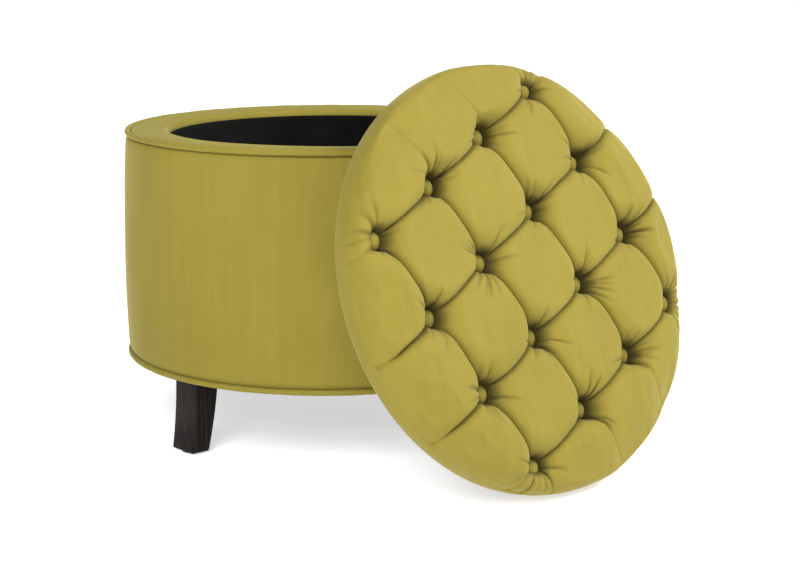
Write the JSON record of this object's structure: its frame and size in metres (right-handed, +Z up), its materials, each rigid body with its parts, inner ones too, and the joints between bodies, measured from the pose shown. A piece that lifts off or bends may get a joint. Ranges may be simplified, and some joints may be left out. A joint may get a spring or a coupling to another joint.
{
  "type": "round storage ottoman",
  "caption": "Round velvet storage ottoman: piped drum with a black-lined well on short curved legs, and a loose diamond-tufted lid that leans on its rim.",
  "frame": {"origin": "on the floor, at the middle of the footprint of drum and leaning lid together; the drum's own axis is parallel to Z, behind the origin on +Y", "axes": "+Z up, -Y towards the side on which the lid leans, +X to the right when facing the lid's tufted side"},
  "size_m": [0.568, 0.7746, 0.5173],
  "materials": {
    "velvet": "matte",
    "well_lining": "matte",
    "dust_cloth": "matte",
    "stained_legs": "satin",
    "fibreboard": "matte",
    "plywood": "matte",
    "softwood": "matte",
    "padding": "matte",
    "cord": "matte",
    "nylon": "satin",
    "steel": "satin"
  },
  "bodies": {
    "drum": {"bottom_board": "plywood", "top_ring": "plywood", "post_1": "softwood", "post_2": "softwood", "post_3": "softwood", "post_4": "softwood", "post_5": "softwood", "post_6": "softwood", "post_7": "softwood", "post_8": "softwood", "outer_wall": "fibreboard", "inner_wall": "fibreboard", "frame_screws": "steel", "wall_staples": "steel", "side_padding": "padding", "side_cover": "velvet", "collar_padding": "padding", "collar_cover": "velvet", "top_piping": "velvet", "top_piping_cord": "cord", "hem_piping": "velvet", "hem_piping_cord": "cord", "hem_staples": "steel", "floor_panel": "fibreboard", "lining_wall": "well_lining", "lining_floor": "well_lining", "dust_cover": "dust_cloth", "dust_cover_staples": "steel", "leg_right": "stained_legs", "leg_back": "stained_legs", "leg_left": "stained_legs", "leg_front": "stained_legs", "hanger_bolts": "steel", "t_nuts": "steel", "glides": "nylon"},
    "lid": {"lid_board": "plywood", "lid_foam": "padding", "lid_wadding": "padding", "lid_cover": "velvet", "lid_cover_staples": "steel", "lid_lining": "dust_cloth", "lid_lining_staples": "steel", "cleat_1": "softwood", "cleat_2": "softwood", "cleat_3": "softwood", "cleat_4": "softwood", "cleat_screws": "steel", "tuft_buttons": "velvet", "button_backs": "steel", "button_twines": "cord", "twine_washers": "nylon"}
  },
  "joints": [
    {"name": "lid_lift", "type": "slide", "parent": "drum", "child": "lid", "axis": [0, 0, 1], "range_m": [0, 0.46]}
  ]
}
